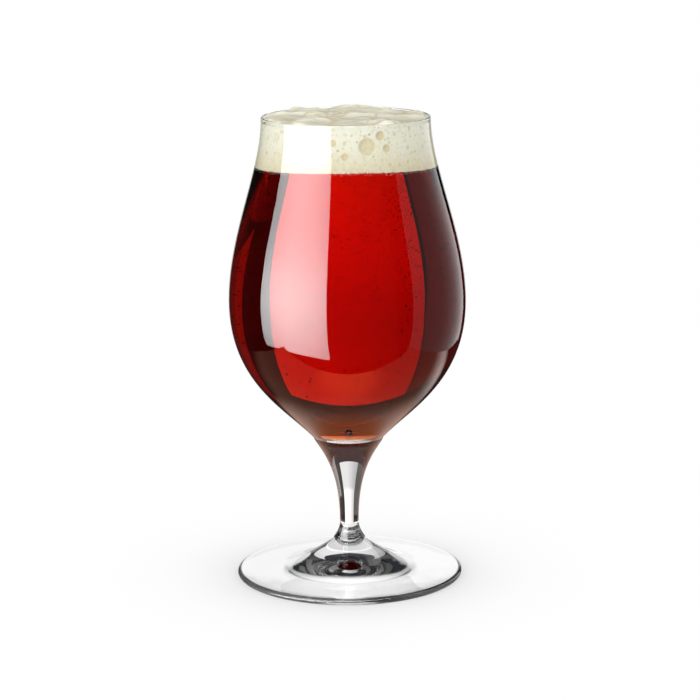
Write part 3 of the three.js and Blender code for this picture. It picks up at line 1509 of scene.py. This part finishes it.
@dataclass
class Ceiling:
    """White panel above the glass, which only reflections show."""

    height: float = 1.2
    radius: float = 0.5
    strength: float = 5.0
    steps: int = 48

    def build(self) -> None:
        """Hang the panel."""
        places = ring(self.radius, self.height, self.steps)[::-1]
        mesh = new_mesh("ceiling", places, [tuple(range(self.steps))])
        material, graph = new_material("ceiling", glows=True)
        graph.add("ShaderNodeOutputMaterial", {"Surface": graph.glow(WHITE, self.strength)})
        panel = new_object("ceiling", mesh, material)
        let_meet(panel, Ray.MIRRORED)


class Patch(NamedTuple):
    """Round patch of colour, with how far its middle lies behind the axis and where it fades out."""

    colour: Colour
    centre: float
    reach: Point


@dataclass
class Plinth:
    """Top of a white plinth as the glass shows it.

    Mirrored, its light and shade are painted: a pool of light behind the foot, dim shade close under it,
    dark farther back, and warm and amber where the ale throws red light. Through the foot it is white, with
    painted shade where the glass has turned the light aside.
    """

    left: float = -0.2
    right: float = 0.19
    front: float = -0.103
    back: float = 0.5
    drop: float = 0.0004
    shaded: Colour = (0.42, 0.23, 0.16)
    lit: Colour = (0.34, 0.2, 0.15)
    lit_reach: Point = (0.03, 0.13)
    behind_shaded: Colour = (0.04, 0.02, 0.02)
    behind_lit: Colour = (1.7, 1.45, 1.35)
    behind_reach: Point = (0.02, 0.08)
    rear: Colour = (0.03, 0.02, 0.02)
    rear_reach: Point = (0.085, 0.125)
    pool: Patch = Patch((1.25, 0.78, 0.62), 0.056, (0.046, 0.084))
    # Painted light: amber light that the ale throws on the plinth round the stem, narrower across than
    # along.
    ale_light: Patch = Patch((1.3, 0.36, 0.14), 0.03, (0.035, 0.062))
    ale_light_narrow: float = 1.5
    warm: Patch = Patch((2.4, 0.45, 0.2), -0.103, (0.03, 0.075))
    # Painted shade: a dim blue-grey on the plinth close under the foot, as reflections show it.
    edge: Colour = (0.25, 0.28, 0.3)
    under_foot_shade_reach: Point = (0.056, 0.066)
    white: float = 1.03
    white_ahead: float = 1.3
    ahead: Place = (0.0, -0.024, 0.0)
    ahead_reach: Point = (0.014, 0.034)
    twice_turned: float = 0.75
    few_turns: float = 3.5
    deep: float = 3.5
    dark: float = 0.02
    foot_reach: float = 0.053
    base_reach: float = 0.25
    cover: tuple[Point, ...] = ((0.068, 0.0003), (0.0052, 0.0155))
    cover_steps: int = 64

    def build(self) -> None:
        """Lay the plinth's top, and set a cone over the foot that only reflections meet."""
        table = [
            (self.left, self.front, -self.drop),
            (self.right, self.front, -self.drop),
            (self.right, self.back, -self.drop),
            (self.left, self.back, -self.drop),
        ]
        mesh = new_mesh("plinth", table, [(0, 1, 2, 3)])
        plinth = new_object("plinth", mesh, self._material())
        let_meet(plinth, Ray.MIRRORED, Ray.THROUGH_GLASS)
        points = [point for size in self.cover for point in ring(*size, self.cover_steps)]
        mesh = new_mesh("plinth_cover", points, ring_faces(len(self.cover), self.cover_steps))
        cover = new_object("plinth_cover", mesh, self._cover_material())
        let_meet(cover, Ray.MIRRORED)

    def _cover_material(self) -> Material:
        """Return the plinth's glow in reflections, clear from below."""
        material, graph = new_material("plinth_cover", glows=True)
        glow = graph.glow(self._tabletop(graph, graph.spot()))
        clear = graph.add("ShaderNodeBsdfTransparent")
        below = graph.add("ShaderNodeNewGeometry").outputs["Backfacing"]
        graph.add("ShaderNodeOutputMaterial", {"Surface": graph.blend(below, glow, clear)})
        return material

    def _material(self) -> Material:
        """Return one glow for reflections and another for what is seen through the foot."""
        material, graph = new_material("plinth", glows=True)
        spot = graph.spot()
        path = graph.add("ShaderNodeLightPath").outputs
        # Painted shade: near the axis, reflections show the plinth in a dim blue-grey.
        beyond = graph.ramp(graph.distance(spot, ORIGIN), self.under_foot_shade_reach)
        mirrored = graph.glow(graph.mix(beyond, self.edge, self._tabletop(graph, spot)))
        seen = graph.glow(WHITE, self._through_foot(graph, spot, path))
        surface = graph.blend(path["Is Transmission Ray"], mirrored, seen)
        graph.add("ShaderNodeOutputMaterial", {"Surface": surface})
        return material

    def _through_foot(self, graph: Graph, spot: NodeSocket, path: NodeOutputs) -> NodeSocket:
        """Return how bright the plinth is through the glass, by how often the glass has mirrored the ray.

        Args:
            graph: Graph that the nodes are added to.
            spot: Place on the plinth.
            path: What is known of the ray's path.

        Returns:
            The socket with the brightness.
        """
        far = graph.distance(spot, ORIGIN)
        turned = graph.math("MODULO", path["Glossy Depth"], 2.0)
        straight = graph.math("LESS_THAN", path["Glossy Depth"], 0.5)
        few = graph.math("LESS_THAN", path["Glossy Depth"], self.few_turns)
        aside = graph.ramp(graph.distance(spot, self.ahead), self.ahead_reach)
        white = graph.math("MULTIPLY_ADD", aside, self.white - self.white_ahead, self.white_ahead)
        shown = graph.math("MULTIPLY", few, self.twice_turned)
        more = graph.math("SUBTRACT", white, self.twice_turned)
        shown = graph.math("MULTIPLY_ADD", straight, more, shown)
        shown = graph.math("MULTIPLY", shown, graph.math("SUBTRACT", 1.0, turned))
        by_foot = graph.math("MULTIPLY", shown, graph.math("LESS_THAN", far, self.foot_reach))
        deep = graph.math("GREATER_THAN", path["Transmission Depth"], self.deep)
        near_base = graph.math("MULTIPLY", deep, graph.math("LESS_THAN", far, self.base_reach))
        by_base = graph.math("MULTIPLY", near_base, graph.math("MULTIPLY", turned, self.white))
        return graph.math("ADD", self.dark, graph.math("MAXIMUM", by_foot, by_base))

    def _tabletop(self, graph: Graph, spot: NodeSocket) -> NodeSocket:
        """Return the plinth's colour in reflections, with its light and shade painted in.

        Args:
            graph: Graph that the nodes are added to.
            spot: Place on the plinth.

        Returns:
            The socket with the colour.
        """
        ways = graph.ways(spot)
        rightward = graph.ramp(ways["X"], self.lit_reach)
        near = graph.mix(rightward, self.shaded, self.lit)
        behind = graph.mix(rightward, self.behind_shaded, self.behind_lit)
        colour = graph.mix(graph.ramp(ways["Y"], self.behind_reach), near, behind)
        colour = self._lay(graph, spot, self.pool, colour)
        colour = graph.mix(graph.ramp(ways["Y"], self.rear_reach), colour, self.rear)
        # Painted light: the ale's amber light round the stem.
        narrow = graph.math("MULTIPLY", ways["X"], self.ale_light_narrow)
        squeezed = graph.add("ShaderNodeCombineXYZ", {"X": narrow, "Y": ways["Y"]}).outputs[0]
        colour = self._lay(graph, squeezed, self.ale_light, colour)
        return self._lay(graph, spot, self.warm, colour)

    @staticmethod
    def _lay(graph: Graph, spot: NodeSocket, patch: Patch, around: NodeSocket) -> NodeSocket:
        """Return a colour with a round patch laid on it."""
        far = graph.distance(spot, (0.0, patch.centre, 0.0))
        return graph.mix(graph.ramp(far, patch.reach), patch.colour, around)


SOFTBOX = Sheet(
    "softbox",
    (
        Column(-88, 0.485, 8.0),
        Column(-84, 0.47, 9.0),
        Column(-70, 0.42, 12.0),
        Column(-57, 0.375, 13.8),
        Column(-46, 0.345, 13.4),
        Column(-36, 0.325, 12.5),
        Column(-26, 0.305, 11.0),
        Column(-18.5, 0.295, 9.0),
    ),
    (
        Row(1, -0.12, 0.6),
        Row(1, -0.06, 0.72),
        Row(1, 0.02, 0.86),
        Row(1, 0.09, 1.0),
        Row(1, 0.15, 1.0),
        Row(1, 0.2, 0.85),
        Row(1, 0.25, 0.75),
        Row(1, 1.0, 0.7),
    ),
    rays=(Ray.MIRRORED,),
)
REFLECTOR_SIDE = Sheet(
    "reflector_side",
    (Column(61, 0.3, 0.3), Column(99, 0.3, 0.3), Column(114, 0.3, 0.48)),
    (Row(1, -0.13), Row(1, 0.8)),
    rays=(Ray.MIRRORED,),
)
REFLECTOR_BACK = Sheet(
    "reflector_back",
    (
        Column(114, 0.3, 0.48),
        Column(120, 0.3, 0.62),
        Column(128, 0.3, 0.87),
        Column(137, 0.3, 1.25),
        Column(143, 0.3, 1.25),
    ),
    (Row(1, -0.3), Row(1, 0.8)),
    rays=(Ray.MIRRORED,),
)
PALE_WALL = Sheet(
    "pale_wall",
    (Column(90, 0.3, 0.15), Column(138, 0.3, 0.25), Column(139, 0.3, 0.38), Column(147.6, 0.3, 0.34)),
    (Row(1, -0.3), Row(1, 0.8)),
    rays=(Ray.THROUGH_GLASS,),
)
SWEEP = Sheet(
    "sweep",
    (
        Column(160.8, 0.8, 1.0),
        Column(170, 0.8, 1.0),
        Column(176, 0.8, 1.0),
        Column(180, 0.8, 0.92),
        Column(186, 0.8, 0.8),
        Column(192, 0.8, 0.66),
        Column(199.2, 0.8, 0.55),
    ),
    (
        Row(0.06, 0.0005, 1.25, 0.94),
        Row(0.5, 0.0005, 1.25, 0.94),
        Row(0.66, 0.0005, 0.98, 0.97),
        Row(1, 0.0005, 0.88),
        Row(1, 0.345, 0.88),
    ),
)
FAR_LEFT = Sheet(
    "far_left",
    (Column(199.6, 0.8, 0.11), Column(250, 0.8, 0.09)),
    (Row(0.11, 0.0005), Row(1, 0.0005), Row(1, 0.34)),
    rays=(Ray.THROUGH_GLASS,),
)
FAR_RIGHT = Sheet(
    "far_right",
    (Column(110, 0.8, 0.05), Column(160.4, 0.8, 0.05)),
    (Row(0.3, 0.0005), Row(1, 0.0005), Row(1, 0.34)),
    rays=(Ray.THROUGH_GLASS,),
)
FRONT_SWEEP = Sheet(
    "front_sweep",
    (Column(-70, 1.2, 0.16), Column(-51, 1.2, 0.2), Column(-50, 1.2, 0.3), Column(50, 1.2, 0.3)),
    (Row(0.1, 0.0005), Row(1, 0.0005), Row(1, 0.6)),
    rays=(Ray.THROUGH_GLASS,),
)


@dataclass
class Studio:
    """Small white plinth in a dark room, with a softbox, reflectors and the camera."""

    camera_at: Place = (0.0008, -0.9043, 0.2823)
    pitch: float = 12.167
    roll: float = 0.5
    sensor: float = 36.0
    focal_pixels: float = 2447.0
    image_pixels: float = 700.0
    ambient: Colour = (0.46, 0.46, 0.46)
    room: Colour = (0.028, 0.033, 0.04)
    room_mirrored: Colour = (0.01, 0.01, 0.01)
    bounces: int = 32
    sheets: tuple[Sheet, ...] = (
        SOFTBOX,
        REFLECTOR_SIDE,
        REFLECTOR_BACK,
        PALE_WALL,
        SWEEP,
        FAR_LEFT,
        FAR_RIGHT,
        FRONT_SWEEP,
    )
    lamps: tuple[Lamp, ...] = (
        Lamp("lamp_left", (-0.9, -0.9, 0.6), 0.8, 15.0),
        Lamp("lamp_right", (1.0, -0.5, 0.7), 0.8, 7.0),
        Lamp("lamp_top", (0.0, 0.3, 1.4), 1.0, 1.2),
    )
    lamp_target: Place = (0.0, 0.0, 0.1)

    def build(self) -> None:
        """Set up the floor, the sheets, the lamps, the world and the camera."""
        Floor().build()
        Plinth().build()
        Ceiling().build()
        for sheet in self.sheets:
            sheet.build()
        for lamp in self.lamps:
            lamp.build(Vector(self.lamp_target))
        self._world()
        self._camera()
        self._settings()

    def _world(self) -> None:
        """Show white to the camera, dim light to matt surfaces and a dark room to the glass."""
        world = bpy.data.worlds.new("studio")
        world.use_nodes = True
        bpy.context.scene.world = world
        world.node_tree.nodes.clear()
        graph = Graph(world.node_tree)
        path = graph.add("ShaderNodeLightPath").outputs
        room = graph.mix(path["Is Transmission Ray"], self.room_mirrored, self.room)
        dim = graph.mix(path["Is Diffuse Ray"], room, self.ambient)
        colour = graph.mix(path["Is Camera Ray"], dim, WHITE)
        background = graph.add("ShaderNodeBackground", {"Color": colour, "Strength": 1.0})
        graph.add("ShaderNodeOutputWorld", {"Surface": background})

    def _camera(self) -> None:
        """Place the camera as the photograph was taken."""
        data = bpy.data.cameras.new("camera")
        data.sensor_width = self.sensor
        data.lens = self.focal_pixels / self.image_pixels * self.sensor
        camera = bpy.data.objects.new("camera", data)
        tilt = Matrix.Rotation(math.radians(90 - self.pitch), 4, "X")
        roll = Matrix.Rotation(math.radians(-self.roll), 4, "Z")
        camera.matrix_world = Matrix.Translation(self.camera_at) @ tilt @ roll
        bpy.context.scene.collection.objects.link(camera)
        bpy.context.scene.camera = camera

    def _settings(self) -> None:
        """Keep colours plain and let light pass through all the layers of glass."""
        scene = bpy.context.scene
        scene.view_settings.view_transform = "Standard"
        scene.cycles.max_bounces = self.bounces
        scene.cycles.transmission_bounces = self.bounces
        scene.cycles.glossy_bounces = self.bounces
        scene.cycles.transparent_max_bounces = self.bounces


def corners(box: Sequence[Vector]) -> list[list[float]]:
    """Return the corners of a box as plain lists."""
    return [[float(value) for value in corner] for corner in box]


def main() -> None:
    """Build the glass, its drink and the studio."""
    logging.basicConfig(level=logging.INFO, format="%(name)s %(message)s")
    hub_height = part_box("foot")[1].z / MM
    base_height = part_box("stem")[1].z / MM
    rim_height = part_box("bowl")[1].z / MM
    fill_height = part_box("beer")[1].z / MM
    finishes = Finishes.make()
    lathe = Lathe()
    Foot(hub_height).build(lathe, finishes)
    Stem(hub_height, base_height).build(lathe, finishes)
    bowl = Bowl(base_height, rim_height)
    bowl.build(lathe, finishes)
    Beer(bowl, fill_height).build(lathe, finishes)
    FoamHead(bowl, fill_height).build(finishes)
    Studio().build()


if __name__ == "__main__":
    main()
